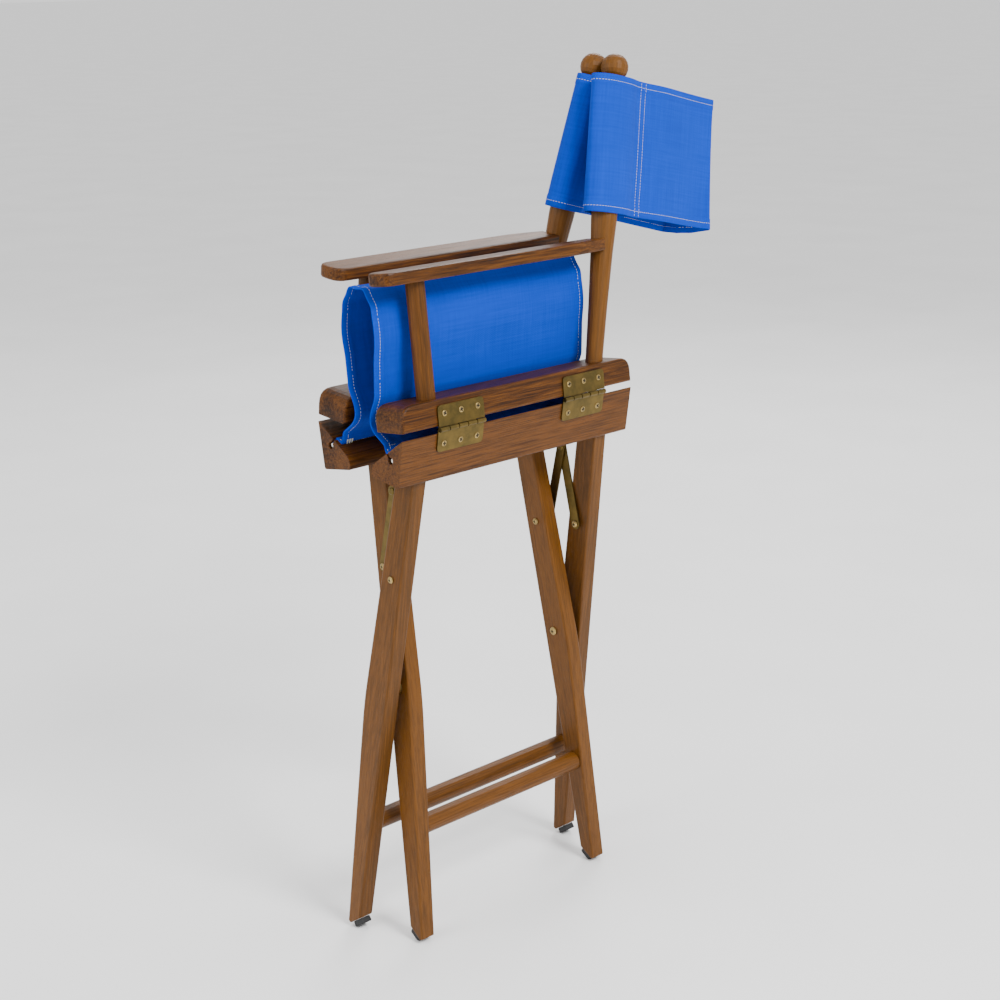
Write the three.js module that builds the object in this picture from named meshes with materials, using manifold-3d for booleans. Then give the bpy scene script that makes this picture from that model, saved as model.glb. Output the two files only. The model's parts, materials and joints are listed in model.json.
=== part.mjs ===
// Folding director chair, folded flat: two crossing leg frames on pivot bolts, hinged arm
// frames, toggle stays, a canvas seat on rods in the seat rails and a canvas back on the posts.
// Millimetres, +Z up, front of the chair at -Y, near side at +X.
import * as THREE from 'three';
import { mergeVertices } from 'three/examples/jsm/utils/BufferGeometryUtils.js';
import Module from 'manifold-3d';

const wasm = await Module();
wasm.setup();

const degrees = Math.PI / 180;
const GAP = 0.3;

// Leg frames. u is measured outward and v up the leg, both from the pivot.
const PIVOT_HEIGHT = 319.37;
const FOLDED_LEG_ANGLE = 8.8 * degrees;
const OPEN_LEG_ANGLE = 43 * degrees;
const LEG_TOP = 277;
const LEG_TOE = -326;
const LEG_KNEE = -20;
const LEG_THICKNESS = 21.5;
const LEG_STRAIGHT_EDGE = 17;
const LEG_TOP_EDGE = -13.5;
const LEG_KNEE_EDGE = -22.5;
const LEG_TOE_EDGE = -3;
const LEG_EDGE_ROUND = 2.2;
const LEG_TOE_CHAMFER = 5;
const CROSSING_GAP = 9.5;
const OUTER_FACE_AT_TOP = 163;
const SPLAY = 0.055;
const TENON_HEIGHT = 9;
const TENON_HALF_WIDTH = 9;
const GLIDE_THICKNESS = 7.5;
const GLIDE_LENGTH = 18;
const GLIDE_WIDTH = 17;
const GLIDE_BEVEL = 1.2;
const GLIDE_TOWARD_HEEL = 2;

// Pivot bolts, headed on the inside and blind in the outer leg, and washers between the crossing legs.
const BOLT_RADIUS = 3.2;
const BOLT_HEAD_RADIUS = 5.4;
const BOLT_HEAD_HEIGHT = 2.2;
const WASHER_RADIUS = 10;
const WASHER_CLEARANCE = 0.55;
const PIVOT_COVER = 5;

// Toggle stays inside each crossing.
const STAY_BOLT_HEIGHT = 149;
const STAY_LENGTH = STAY_BOLT_HEIGHT * Math.sin(OPEN_LEG_ANGLE);
const STAY_WIDTH = 13.5;
const STAY_THICKNESS = 1.8;
const STAY_PLANE = 143.05;
const STAY_BOLT_RADIUS = 2.5;
const STAY_HEAD_RADIUS = 4.3;
const STAY_HEAD_HEIGHT = 2;
const RIVET_RADIUS = 4.5;
const RIVET_HEIGHT = 2.2;
const RIVET_DOME = 1;

// Stretcher dowels between the front and back leg of each frame.
const STRETCHER_HEIGHT = -181;
const STRETCHER_OFFSET = 2.3;
const STRETCHER_RADIUS = 12.3;
const STRETCHER_TENON_RADIUS = 8;
const STRETCHER_TENON_LENGTH = 9;

// Seat rails: profile corners in (u, v), with a keyhole slot square to the top face.
const RAIL_HALF_LENGTH = 191;
const RAIL_OUTER = 24.3;
const RAIL_INNER = -24.2;
const RAIL_OUTER_TOP = 336;
const RAIL_INNER_TOP = 290.6;
const SLOT_WIDTH = 3.2;
const SLOT_DEPTH = 10;
const SLOT_HOLE_RADIUS = 4.2;
const ROD_RADIUS = 2.6;
const ROD_INSET = 3;
const RAIL_SLOPE = Math.atan2(RAIL_OUTER_TOP - RAIL_INNER_TOP, RAIL_OUTER - RAIL_INNER);
const SLOT_MOUTH_U = (RAIL_OUTER + RAIL_INNER) / 2;
const SLOT_MOUTH_V = (RAIL_OUTER_TOP + RAIL_INNER_TOP) / 2;

// Rail hinges.
const HINGE_PIN_U = 27.4;
const HINGE_PIN_V = 340.5;
const HINGE_CENTRES = [-102, 103];
const HINGE_LENGTH = 72;
const LEAF_HEIGHT = 28;
const LEAF_THICKNESS = 1.6;
const KNUCKLE_RADIUS = 3;
const KNUCKLE_COUNT = 5;
const KNUCKLE_GAP = 1.2;
const PIN_RADIUS = 1.3;

// Arm frames. q is measured outward and p up, both from the hinge pin.
const ARM_LEAN = 6.0 * degrees;
const ARM_RAIL_OUTER = -1.8;
const ARM_RAIL_INNER = -50;
const ARM_RAIL_BOTTOM = 4;
const ARM_RAIL_TOP = 35;
const ARM_RAIL_HALF_LENGTH = 190;
const ARM_RAIL_CORNER = 18;
const ARM_EDGE_ROUND = 2.5;
const POST_Q = -21;
const SOCKET_DEPTH = 10;
const FRONT_POST_Y = -135.6;
const FRONT_POST_RADIUS = 11.3;
const BACK_POST_Y = 137.6;
const BACK_POST_RAKE = Math.atan(0.22);
const BACK_POST_FOOT_RADIUS = 10.8;
const BACK_POST_PROFILE = [
  [10.9, 45], [12, 105], [14, 170], [16.3, 212], [16.5, 240], [15.6, 290], [13, 340], [9.6, 374],
];
const NECK_RADIUS = 9;
const BALL_HEIGHT = 398.5;
const BALL_RADIUS = 17.2;
const ARMREST_BOTTOM = 170.5;
const ARMREST_THICKNESS = 15;
const ARMREST_OUTER = 1.5;
const ARMREST_INNER = -38.5;
const ARMREST_FRONT = -195.7;
const ARMREST_REAR = 166;
const ARMREST_TAPER_START = 112;
const ARMREST_REAR_OUTER = -6;
const ARMREST_REAR_INNER = -36;
const ARMREST_FRONT_CORNER = 17;

// Canvas seat: strips from each slot to the middle, and the heading of each one in the XZ plane.
const CANVAS_THICKNESS = 1.2;
const STRIP_END_GAP = 1;
const NARROWEST_STRIP = 1.5;
const SEAT_FRONT = -186;
const SEAT_BACK = 156;
const NEAR_SEAT_LENGTHS = [31, 126, 22, 22, 12.5];
const NEAR_SEAT_HEADINGS = [147, 88.5, 99.4, 125.2, 180];
const FAR_SEAT_LENGTHS = [37, 121, 21.5, 21.5, 12.5];
const FAR_SEAT_HEADINGS = [38, 95.7, 81.4, 57.3, 0];

// Canvas back: a sleeved panel on each post, a slanting strip and a strip across to the middle.
const BACK_CENTRE = 303;
const BACK_HEIGHT = 168;
const BACK_SLANT_LENGTH = 15;
const BACK_SLANT_ANGLE = 46 * degrees;
const BACK_FOLD_LENGTH = 15;
const NEAR_BACK_PITCH = 11.4 * degrees;
const FAR_BACK_PITCH = 14.4 * degrees;
const SLEEVE_FRONT = -38;
const SLEEVE_SEAM = 50;
const SLEEVE_HALF_DEPTH = 18.2;
const SLEEVE_FLAT = 20;

const finishes = {
  teak: { color: 0x8a4b26, roughness: 0.5, metalness: 0 },
  brass: { color: 0x8f7a45, roughness: 0.4, metalness: 0.9 },
  rod: { color: 0xe9e7e0, roughness: 0.6, metalness: 0 },
  rubber: { color: 0x161616, roughness: 0.85, metalness: 0 },
  canvas: { color: 0x0a5fd6, roughness: 0.9, metalness: 0 },
};

const chair = new THREE.Group();
chair.name = 'director_chair';

// One welded, outward-facing solid from any three.js geometry.
function weld(geometry) {
  const bare = geometry.clone();
  bare.deleteAttribute('normal');
  bare.deleteAttribute('uv');
  const merged = mergeVertices(bare, 1e-4);
  const position = merged.getAttribute('position');
  const corner = [new THREE.Vector3(), new THREE.Vector3(), new THREE.Vector3()];
  const faces = [];
  let volume = 0;
  for (let i = 0; i < merged.index.count; i += 3) {
    const face = [0, 1, 2].map((k) => merged.index.getX(i + k));
    if (new Set(face).size < 3) continue;
    face.forEach((vertex, k) => corner[k].fromBufferAttribute(position, vertex));
    volume += corner[0].dot(corner[1].clone().cross(corner[2]));
    faces.push(face);
  }
  if (volume < 0) faces.forEach((face) => face.reverse());
  merged.setIndex(faces.flat());
  return merged;
}

function toManifold(geometry) {
  const solid = weld(geometry);
  return new wasm.Manifold(new wasm.Mesh({
    numProp: 3,
    vertProperties: new Float32Array(solid.getAttribute('position').array),
    triVerts: new Uint32Array(solid.index.array),
  }));
}

function fromManifold(manifold) {
  const mesh = manifold.getMesh();
  const geometry = new THREE.BufferGeometry();
  geometry.setAttribute('position', new THREE.BufferAttribute(mesh.vertProperties, 3));
  geometry.setIndex(new THREE.BufferAttribute(mesh.triVerts, 1));
  return geometry;
}

function cut(body, ...cutters) {
  return fromManifold(cutters.reduce((left, tool) => left.subtract(toManifold(tool)), toManifold(body)));
}

function join(...bodies) {
  return fromManifold(bodies.map(toManifold).reduce((sum, body) => sum.add(body)));
}

// Outline through [x, y, corner radius] points.
function roundedOutline(corners) {
  const shape = new THREE.Shape();
  const at = (i) => corners[(i + corners.length) % corners.length];
  corners.forEach(([x, y, radius], i) => {
    const here = new THREE.Vector2(x, y);
    const toward = (other) => {
      const direction = new THREE.Vector2(other[0], other[1]).sub(here).normalize();
      return here.clone().addScaledVector(direction, radius);
    };
    const start = toward(at(i - 1));
    const end = toward(at(i + 1));
    if (i === 0) shape.moveTo(start.x, start.y);
    else shape.lineTo(start.x, start.y);
    if (radius > 0) shape.quadraticCurveTo(x, y, end.x, end.y);
  });
  shape.closePath();
  return shape;
}

function roundHole(x, y, radius) {
  const hole = new THREE.Path();
  hole.absarc(x, y, radius, 0, 2 * Math.PI, true);
  return hole;
}

function extrude(shape, length, bevel, curveSegments = 3) {
  const geometry = new THREE.ExtrudeGeometry(shape, {
    depth: length - 2 * bevel,
    bevelEnabled: bevel > 0,
    bevelSize: bevel,
    bevelThickness: bevel,
    bevelOffset: -bevel,
    bevelSegments: 2,
    curveSegments,
  });
  return geometry.translate(0, 0, bevel);
}

// Profile drawn in (x, z), running from y0 to y1.
function alongY(shape, y0, y1, bevel = 0, curveSegments = 3) {
  return extrude(shape, y1 - y0, bevel, curveSegments).rotateX(Math.PI / 2).translate(0, y1, 0);
}

// Profile drawn in (y, z), running from x0 to x1.
function alongX(shape, x0, x1, bevel = 0, curveSegments = 3) {
  const geometry = extrude(shape, x1 - x0, bevel, curveSegments);
  return geometry.rotateX(Math.PI / 2).rotateZ(Math.PI / 2).translate(x0, 0, 0);
}

// Turned piece from [radius, height] points, standing on +Z.
function turned(points, segments) {
  const profile = points.map(([radius, height]) => new THREE.Vector2(radius, height));
  return new THREE.LatheGeometry(profile, segments).rotateX(Math.PI / 2);
}

function turnedAlongY(points, segments) {
  return turned(points, segments).rotateX(-Math.PI / 2);
}

function shearY(geometry, slope, fixedHeight) {
  const shear = new THREE.Matrix4();
  shear.set(1, 0, 0, 0, 0, 1, slope, -slope * fixedHeight, 0, 0, 1, 0, 0, 0, 0, 1);
  return geometry.applyMatrix4(shear);
}

function placeOnLeg(geometry, side) {
  geometry.rotateY(FOLDED_LEG_ANGLE).translate(0, 0, PIVOT_HEIGHT);
  return side > 0 ? geometry : geometry.scale(-1, 1, 1);
}

const pin = new THREE.Vector3(HINGE_PIN_U, 0, HINGE_PIN_V)
  .applyAxisAngle(new THREE.Vector3(0, 1, 0), FOLDED_LEG_ANGLE)
  .add(new THREE.Vector3(0, 0, PIVOT_HEIGHT));

function placeOnArm(geometry, side) {
  geometry.rotateY(-ARM_LEAN).translate(pin.x, 0, pin.z);
  return side > 0 ? geometry : geometry.scale(-1, 1, 1);
}

function add(name, geometry, finish) {
  const solid = weld(geometry);
  solid.computeVertexNormals();
  const mesh = new THREE.Mesh(solid, new THREE.MeshStandardMaterial(finishes[finish]));
  mesh.name = name;
  chair.add(mesh);
}

// A leg's top face y is given; the leg leans away from the middle of the chair going down.
function legSolid(end, middle) {
  const toeRise = Math.tan(OPEN_LEG_ANGLE) * (LEG_STRAIGHT_EDGE - LEG_TOE_EDGE);
  const taper = (LEG_TOE_EDGE - LEG_KNEE_EDGE) / (LEG_KNEE - LEG_TOE);
  const cutRun = Math.cos(OPEN_LEG_ANGLE);
  const cutRise = Math.sin(OPEN_LEG_ANGLE);
  const outline = roundedOutline([
    [LEG_TOE_EDGE - taper * LEG_TOE_CHAMFER, LEG_TOE + LEG_TOE_CHAMFER, 0],
    [LEG_TOE_EDGE + LEG_TOE_CHAMFER * cutRun, LEG_TOE + LEG_TOE_CHAMFER * cutRise, 0],
    [LEG_STRAIGHT_EDGE, LEG_TOE + toeRise, 0],
    [LEG_STRAIGHT_EDGE, LEG_TOP, 0],
    [TENON_HALF_WIDTH, LEG_TOP, 0],
    [TENON_HALF_WIDTH, LEG_TOP + TENON_HEIGHT, 0],
    [-TENON_HALF_WIDTH, LEG_TOP + TENON_HEIGHT, 0],
    [-TENON_HALF_WIDTH, LEG_TOP, 0],
    [LEG_TOP_EDGE, LEG_TOP, 0],
    [LEG_KNEE_EDGE, LEG_KNEE, 26],
  ]);
  const half = LEG_THICKNESS / 2;
  const blank = alongY(outline, middle - half, middle + half, LEG_EDGE_ROUND, 5);
  const leaning = shearY(blank, -end * SPLAY, LEG_TOP);
  const outermost = Math.abs(middle) + half === OUTER_FACE_AT_TOP;
  const pivotDepth = outermost ? half - PIVOT_COVER : LEG_THICKNESS;
  const pivotHole = drill(middle, 0, BOLT_RADIUS + GAP, pivotDepth);
  const stayHole = drill(middle, STAY_BOLT_HEIGHT, STAY_BOLT_RADIUS + GAP, LEG_THICKNESS);
  return cut(leaning, pivotHole, stayHole);
}

// Bolt hole at height v, from inside the chair out to a depth beyond the middle of the leg.
function drill(middle, v, radius, depth) {
  const start = -LEG_THICKNESS;
  const hole = turnedAlongY([[0, start], [radius, start], [radius, depth], [0, depth]], 16);
  if (middle < 0) hole.scale(1, -1, 1);
  return hole.translate(0, splayedY(middle, v), v);
}

// y of a point that lies at topY at the leg's top, taken down to height v.
function splayedY(topY, v) {
  return topY + Math.sign(topY) * SPLAY * (LEG_TOP - v);
}

function stretcherSolid(faceY, extraRadius = 0) {
  const shoulder = faceY - 1;
  const tip = faceY + STRETCHER_TENON_LENGTH + extraRadius;
  const tenon = STRETCHER_TENON_RADIUS + extraRadius;
  const profile = [[0, -tip], [tenon, -tip], [tenon, -shoulder], [STRETCHER_RADIUS, -shoulder],
    [STRETCHER_RADIUS, shoulder], [tenon, shoulder], [tenon, tip], [0, tip]];
  return turnedAlongY(profile, 20).translate(STRETCHER_OFFSET, 0, STRETCHER_HEIGHT);
}

// Point of the keyhole slot, from its mouth: across the rail's sloping top and down into the wood.
function slotPoint(across, depth) {
  const u = SLOT_MOUTH_U + across * Math.cos(RAIL_SLOPE) + depth * Math.sin(RAIL_SLOPE);
  const v = SLOT_MOUTH_V + across * Math.sin(RAIL_SLOPE) - depth * Math.cos(RAIL_SLOPE);
  return [u, v, 0];
}

function railSolid() {
  const throat = Math.asin(SLOT_WIDTH / 2 / SLOT_HOLE_RADIUS);
  const arc = [];
  const arcSteps = 12;
  for (let i = 0; i <= arcSteps; i += 1) {
    const angle = throat + (2 * Math.PI - 2 * throat) * (i / arcSteps);
    arc.push(slotPoint(SLOT_HOLE_RADIUS * Math.sin(angle), SLOT_DEPTH - SLOT_HOLE_RADIUS * Math.cos(angle)));
  }
  const outline = roundedOutline([
    [RAIL_INNER, LEG_TOP + GAP, 3],
    [RAIL_OUTER, LEG_TOP + GAP, 3],
    [RAIL_OUTER, RAIL_OUTER_TOP, 2],
    slotPoint(SLOT_WIDTH / 2, 0),
    ...arc,
    slotPoint(-SLOT_WIDTH / 2, 0),
    [RAIL_INNER, RAIL_INNER_TOP, 7],
  ]);
  return alongY(outline, -RAIL_HALF_LENGTH, RAIL_HALF_LENGTH, 0, 3);
}

function box(x0, x1, y0, y1, z0, z1) {
  return new THREE.BoxGeometry(x1 - x0, y1 - y0, z1 - z0)
    .translate((x0 + x1) / 2, (y0 + y1) / 2, (z0 + z1) / 2);
}

// Socket for a leg's tenon in the underside of its rail.
function mortise(middle) {
  const half = LEG_THICKNESS / 2 + GAP;
  const side = TENON_HALF_WIDTH + GAP;
  const lean = SPLAY * TENON_HEIGHT;
  const reach = half + lean;
  return box(-side, side, middle - reach, middle + reach, LEG_TOP - 1, LEG_TOP + TENON_HEIGHT + GAP);
}

function addLegFrame(name, side, topFace) {
  const middle = topFace - LEG_THICKNESS / 2;
  const inwardFace = topFace - LEG_THICKNESS;
  const stretcherFace = splayedY(inwardFace, STRETCHER_HEIGHT);
  const socket = stretcherSolid(stretcherFace, GAP);
  for (const [place, end] of [['front', -1], ['back', 1]]) {
    add(`${name}_${place}_leg`, placeOnLeg(cut(legSolid(end, end * middle), socket), side), 'teak');
    add(`${name}_${place}_glide`, placeOnLeg(glideSolid(end, middle), side), 'rubber');
    add(`${name}_${place}_stay_bolt`, placeOnLeg(stayBoltSolid(end, topFace), side), 'brass');
  }
  add(`${name}_stretcher`, placeOnLeg(stretcherSolid(stretcherFace - GAP), side), 'teak');
  const rail = cut(railSolid(), mortise(-middle), mortise(middle));
  add(`${name}_seat_rail`, placeOnLeg(rail, side), 'teak');
  const [holeU, holeV] = slotPoint(0, SLOT_DEPTH);
  const rodLength = RAIL_HALF_LENGTH - ROD_INSET;
  const rodProfile = [[0, -rodLength], [ROD_RADIUS, -rodLength], [ROD_RADIUS, rodLength], [0, rodLength]];
  const rod = turnedAlongY(rodProfile, 12);
  add(`${name}_seat_rod`, placeOnLeg(rod.translate(holeU, 0, holeV), side), 'rod');
}

// Rubber pad nailed on the toe cut, which is level when the chair stands open.
function glideSolid(end, middle) {
  const centreU = (LEG_TOE_EDGE + LEG_STRAIGHT_EDGE) / 2 + GLIDE_TOWARD_HEEL;
  const centreV = LEG_TOE + Math.tan(OPEN_LEG_ANGLE) * (centreU - LEG_TOE_EDGE);
  const half = GLIDE_LENGTH / 2;
  const side = GLIDE_WIDTH / 2;
  const outline = roundedOutline([[-half, -side, 4], [half, -side, 4], [half, side, 4], [-half, side, 4]]);
  const pad = extrude(outline, GLIDE_THICKNESS, GLIDE_BEVEL).translate(0, 0, -GLIDE_THICKNESS - GAP);
  pad.rotateY(-OPEN_LEG_ANGLE).translate(centreU, splayedY(end * middle, centreV), centreV);
  return pad;
}

// Domed bolt lying along Y: a head below y0 and, if it has two, another above y1.
function boltSolid(shankRadius, headRadius, headHeight, y0, y1, heads = 2) {
  const head = (face, out) => [[headRadius, face], [headRadius, face + out * headHeight * 0.4],
    [headRadius * 0.7, face + out * headHeight], [0, face + out * headHeight]];
  const tip = heads === 2 ? head(y1, 1) : [[0, y1]];
  return turnedAlongY([...head(y0, -1).reverse(), [shankRadius, y0], [shankRadius, y1], ...tip], 16);
}

// Bolt through a leg and its stay; the inner head sits against the stay.
function stayBoltSolid(end, topFace) {
  const outer = topFace === OUTER_FACE_AT_TOP;
  const legFace = outer ? topFace : topFace - LEG_THICKNESS;
  const clearance = GAP + STAY_HEAD_RADIUS * SPLAY;
  const faceY = splayedY(legFace, STAY_BOLT_HEIGHT) + (outer ? clearance : -clearance);
  const stayFace = stayFaces(outer);
  const stayY = outer ? stayFace.near - GAP : stayFace.far + GAP;
  const bolt = outer
    ? boltSolid(STAY_BOLT_RADIUS, STAY_HEAD_RADIUS, STAY_HEAD_HEIGHT, stayY, faceY)
    : boltSolid(STAY_BOLT_RADIUS, STAY_HEAD_RADIUS, STAY_HEAD_HEIGHT, faceY, stayY);
  if (end < 0) bolt.scale(1, -1, 1);
  return bolt.translate(0, 0, STAY_BOLT_HEIGHT);
}

// Distance from the middle of the chair of a stay's two faces.
function stayFaces(outer) {
  const near = outer ? STAY_PLANE + GAP / 2 : STAY_PLANE - GAP / 2 - STAY_THICKNESS;
  return { near, far: near + STAY_THICKNESS };
}

// Stay standing folded, from its leg bolt up to the rivet in the middle of the crossing.
function addStays(name, side, outer) {
  const boltX = STAY_BOLT_HEIGHT * Math.sin(FOLDED_LEG_ANGLE);
  const boltZ = PIVOT_HEIGHT + STAY_BOLT_HEIGHT * Math.cos(FOLDED_LEG_ANGLE);
  const heading = Math.acos(boltX / STAY_LENGTH);
  const half = STAY_WIDTH / 2;
  const bar = new THREE.Shape();
  bar.absarc(0, 0, half, Math.PI, 0, false);
  bar.absarc(0, STAY_LENGTH, half, 0, Math.PI, false);
  bar.holes.push(roundHole(0, 0, STAY_BOLT_RADIUS + GAP));
  const faces = stayFaces(outer);
  for (const [place, end] of [['front', -1], ['back', 1]]) {
    const plate = alongY(bar, faces.near, faces.far, 0, 8);
    const inset = 0.4;
    const rivetFace = outer ? faces.far - inset : faces.near + inset;
    const out = outer ? 1 : -1;
    const shoulder = rivetFace + out * (RIVET_HEIGHT - RIVET_DOME);
    const crown = rivetFace + out * RIVET_HEIGHT;
    const rivet = turnedAlongY([[0, rivetFace], [RIVET_RADIUS, rivetFace], [RIVET_RADIUS, shoulder],
      [RIVET_RADIUS * 0.67, crown], [0, crown]], 12).translate(0, 0, STAY_LENGTH);
    const stay = join(plate, rivet);
    stay.rotateY(-(Math.PI / 2 - heading)).translate(boltX, 0, boltZ);
    if (end < 0) stay.scale(1, -1, 1);
    add(`${name}_${place}_stay`, side > 0 ? stay : stay.scale(-1, 1, 1), 'brass');
  }
}

function addPivots() {
  const inner = OUTER_FACE_AT_TOP - 2 * LEG_THICKNESS - CROSSING_GAP;
  const lean = GAP + BOLT_HEAD_RADIUS * SPLAY;
  for (const [place, end] of [['front', -1], ['back', 1]]) {
    const near = splayedY(inner, 0) - lean;
    const far = splayedY(OUTER_FACE_AT_TOP - PIVOT_COVER - GAP, 0);
    const bolt = boltSolid(BOLT_RADIUS, BOLT_HEAD_RADIUS, BOLT_HEAD_HEIGHT, near, far, 1);
    const washerNear = OUTER_FACE_AT_TOP - LEG_THICKNESS - CROSSING_GAP + WASHER_CLEARANCE;
    const washerFar = OUTER_FACE_AT_TOP - LEG_THICKNESS - WASHER_CLEARANCE;
    const ring = new THREE.Shape();
    ring.absarc(0, 0, WASHER_RADIUS, 0, 2 * Math.PI, false);
    ring.holes.push(roundHole(0, 0, BOLT_RADIUS + GAP));
    const washer = shearY(alongY(ring, washerNear, washerFar, 0, 10), -SPLAY, LEG_TOP);
    for (const [piece, geometry, finish] of [['bolt', bolt, 'brass'], ['washer', washer, 'brass']]) {
      if (end < 0) geometry.scale(1, -1, 1);
      add(`pivot_${place}_${piece}`, geometry.translate(0, 0, PIVOT_HEIGHT), finish);
    }
  }
}

// One hinge leaf in coordinates from the pin: plate on a vertical face, direction +1 up, -1 down.
function leafSolid(centre, faceQ, direction) {
  const half = HINGE_LENGTH / 2;
  const tip = direction * LEAF_HEIGHT;
  const plateOutline = roundedOutline([[-half, 0, 0], [-half, tip, 5], [half, tip, 5], [half, 0, 0]]);
  const plate = alongX(plateOutline, faceQ, faceQ + LEAF_THICKNESS);
  const pitch = HINGE_LENGTH / KNUCKLE_COUNT;
  const barrel = (radius, y0, y1) => turnedAlongY([[0, y0], [radius, y0], [radius, y1], [0, y1]], 14);
  const upper = direction > 0;
  let leaf = plate;
  for (let i = 0; i < KNUCKLE_COUNT; i += 1) {
    const y0 = -half + i * pitch;
    const mine = (i % 2 === 1) === upper;
    if (mine) leaf = join(leaf, barrel(KNUCKLE_RADIUS, y0 + KNUCKLE_GAP / 2, y0 + pitch - KNUCKLE_GAP / 2));
    else leaf = cut(leaf, barrel(KNUCKLE_RADIUS + GAP, y0 - GAP / 2, y0 + pitch + GAP / 2));
  }
  const pinHalf = half - 0.5;
  if (upper) leaf = cut(leaf, barrel(PIN_RADIUS + GAP, -half - 1, half + 1));
  else leaf = join(leaf, barrel(PIN_RADIUS, -pinHalf, pinHalf));
  return leaf.translate(0, centre, 0);
}

function addHinges(name, side) {
  HINGE_CENTRES.forEach((centre, i) => {
    const place = ['front', 'back'][i];
    const lowerFace = RAIL_OUTER + GAP - HINGE_PIN_U;
    const lower = leafSolid(centre, lowerFace, -1).translate(HINGE_PIN_U, 0, HINGE_PIN_V);
    add(`${name}_${place}_hinge_lower`, placeOnLeg(lower, side), 'brass');
    const upper = leafSolid(centre, ARM_RAIL_OUTER + GAP, 1);
    add(`${name}_${place}_hinge_upper`, placeOnArm(upper, side), 'brass');
  });
}

// Turned post with a ball on top; extra widens the shaft for cutting its sockets.
function backPostSolid(extra = 0) {
  const neck = BALL_HEIGHT - Math.sqrt(BALL_RADIUS ** 2 - NECK_RADIUS ** 2);
  const foot = (ARM_RAIL_TOP - SOCKET_DEPTH) / Math.cos(BACK_POST_RAKE) - extra;
  const shaft = BACK_POST_PROFILE.map(([radius, height]) => [radius + extra, height]);
  const profile = [[0, foot], [BACK_POST_FOOT_RADIUS + extra, foot], ...shaft, [NECK_RADIUS + extra, neck]];
  const start = Math.asin(NECK_RADIUS / BALL_RADIUS);
  const ballSteps = 9;
  for (let i = 1; i <= ballSteps; i += 1) {
    const angle = start + (Math.PI - start) * (i / ballSteps);
    const radius = i === ballSteps ? 0 : BALL_RADIUS * Math.sin(angle);
    profile.push([radius, BALL_HEIGHT - BALL_RADIUS * Math.cos(angle)]);
  }
  return turned(profile, 20).rotateX(-BACK_POST_RAKE).translate(POST_Q, BACK_POST_Y, 0);
}

function frontPostSolid(extra = 0) {
  const foot = ARM_RAIL_TOP - SOCKET_DEPTH - extra;
  const head = ARMREST_BOTTOM + SOCKET_DEPTH - 2 + extra;
  const radius = FRONT_POST_RADIUS + extra;
  return turned([[0, foot], [radius, foot], [radius, head], [0, head]], 20)
    .translate(POST_Q, FRONT_POST_Y, 0);
}

function armRailSolid() {
  const half = ARM_RAIL_HALF_LENGTH;
  const outline = roundedOutline([
    [-half, ARM_RAIL_BOTTOM, 0],
    [half, ARM_RAIL_BOTTOM, 0],
    [half, ARM_RAIL_TOP, ARM_RAIL_CORNER],
    [-half, ARM_RAIL_TOP, ARM_RAIL_CORNER],
  ]);
  return alongX(outline, ARM_RAIL_INNER, ARM_RAIL_OUTER, ARM_EDGE_ROUND, 5);
}

function armrestSolid() {
  const outline = roundedOutline([
    [ARMREST_INNER, ARMREST_FRONT, ARMREST_FRONT_CORNER],
    [ARMREST_OUTER, ARMREST_FRONT, ARMREST_FRONT_CORNER],
    [ARMREST_OUTER, ARMREST_TAPER_START, 12],
    [ARMREST_REAR_OUTER, ARMREST_REAR, 0],
    [ARMREST_REAR_INNER, ARMREST_REAR, 0],
    [ARMREST_INNER, ARMREST_TAPER_START, 12],
  ]);
  return extrude(outline, ARMREST_THICKNESS, ARM_EDGE_ROUND, 5).translate(0, 0, ARMREST_BOTTOM);
}

function addArmFrame(name, side) {
  const socket = frontPostSolid(GAP);
  const backSocket = backPostSolid(GAP);
  add(`${name}_arm_rail`, placeOnArm(cut(armRailSolid(), socket, backSocket), side), 'teak');
  add(`${name}_armrest`, placeOnArm(cut(armrestSolid(), socket, backSocket), side), 'teak');
  add(`${name}_front_post`, placeOnArm(frontPostSolid(), side), 'teak');
  add(`${name}_back_post`, placeOnArm(backPostSolid(), side), 'teak');
}

// Seat strips: flat boxes laid end to end from the slot mouth to the middle.
function addSeatStrips(name, side, lengths, headings) {
  const mouth = new THREE.Vector3(SLOT_MOUTH_U, 0, SLOT_MOUTH_V)
    .applyAxisAngle(new THREE.Vector3(0, 1, 0), FOLDED_LEG_ANGLE);
  let x = side * mouth.x;
  let z = mouth.z + PIVOT_HEIGHT;
  lengths.forEach((length, i) => {
    const heading = headings[i] * degrees;
    const firstGap = i === 0 ? 2 * STRIP_END_GAP : STRIP_END_GAP;
    const half = CANVAS_THICKNESS / 2;
    const strip = box(firstGap, length - STRIP_END_GAP, SEAT_FRONT, SEAT_BACK, -half, half);
    add(`${name}_seat_canvas_${i + 1}`, strip.rotateY(-heading).translate(x, 0, z), 'canvas');
    x += length * Math.cos(heading);
    z += length * Math.sin(heading);
  });
}

// Point on the post axis that the sleeve hangs around, in the folded chair.
function sleeveCentre(side) {
  const point = new THREE.Vector3(
    POST_Q,
    BACK_POST_Y + BACK_CENTRE * Math.sin(BACK_POST_RAKE),
    BACK_CENTRE * Math.cos(BACK_POST_RAKE),
  );
  point.applyAxisAngle(new THREE.Vector3(0, 1, 0), -ARM_LEAN).add(pin);
  point.x *= side;
  return point;
}

// Height direction of the canvas on a post leaning in by ARM_LEAN and pitched back.
function canvasUp(side, pitch) {
  const up = new THREE.Vector3(0, Math.sin(pitch), Math.cos(pitch));
  return up.applyAxisAngle(new THREE.Vector3(0, 1, 0), -side * ARM_LEAN);
}

function backPanelTowards(side, pitch, turn) {
  const up = canvasUp(side, pitch);
  const rear = new THREE.Vector3(0, Math.cos(pitch), -Math.sin(pitch));
  return { up, along: rear.applyAxisAngle(up, side * turn) };
}

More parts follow.
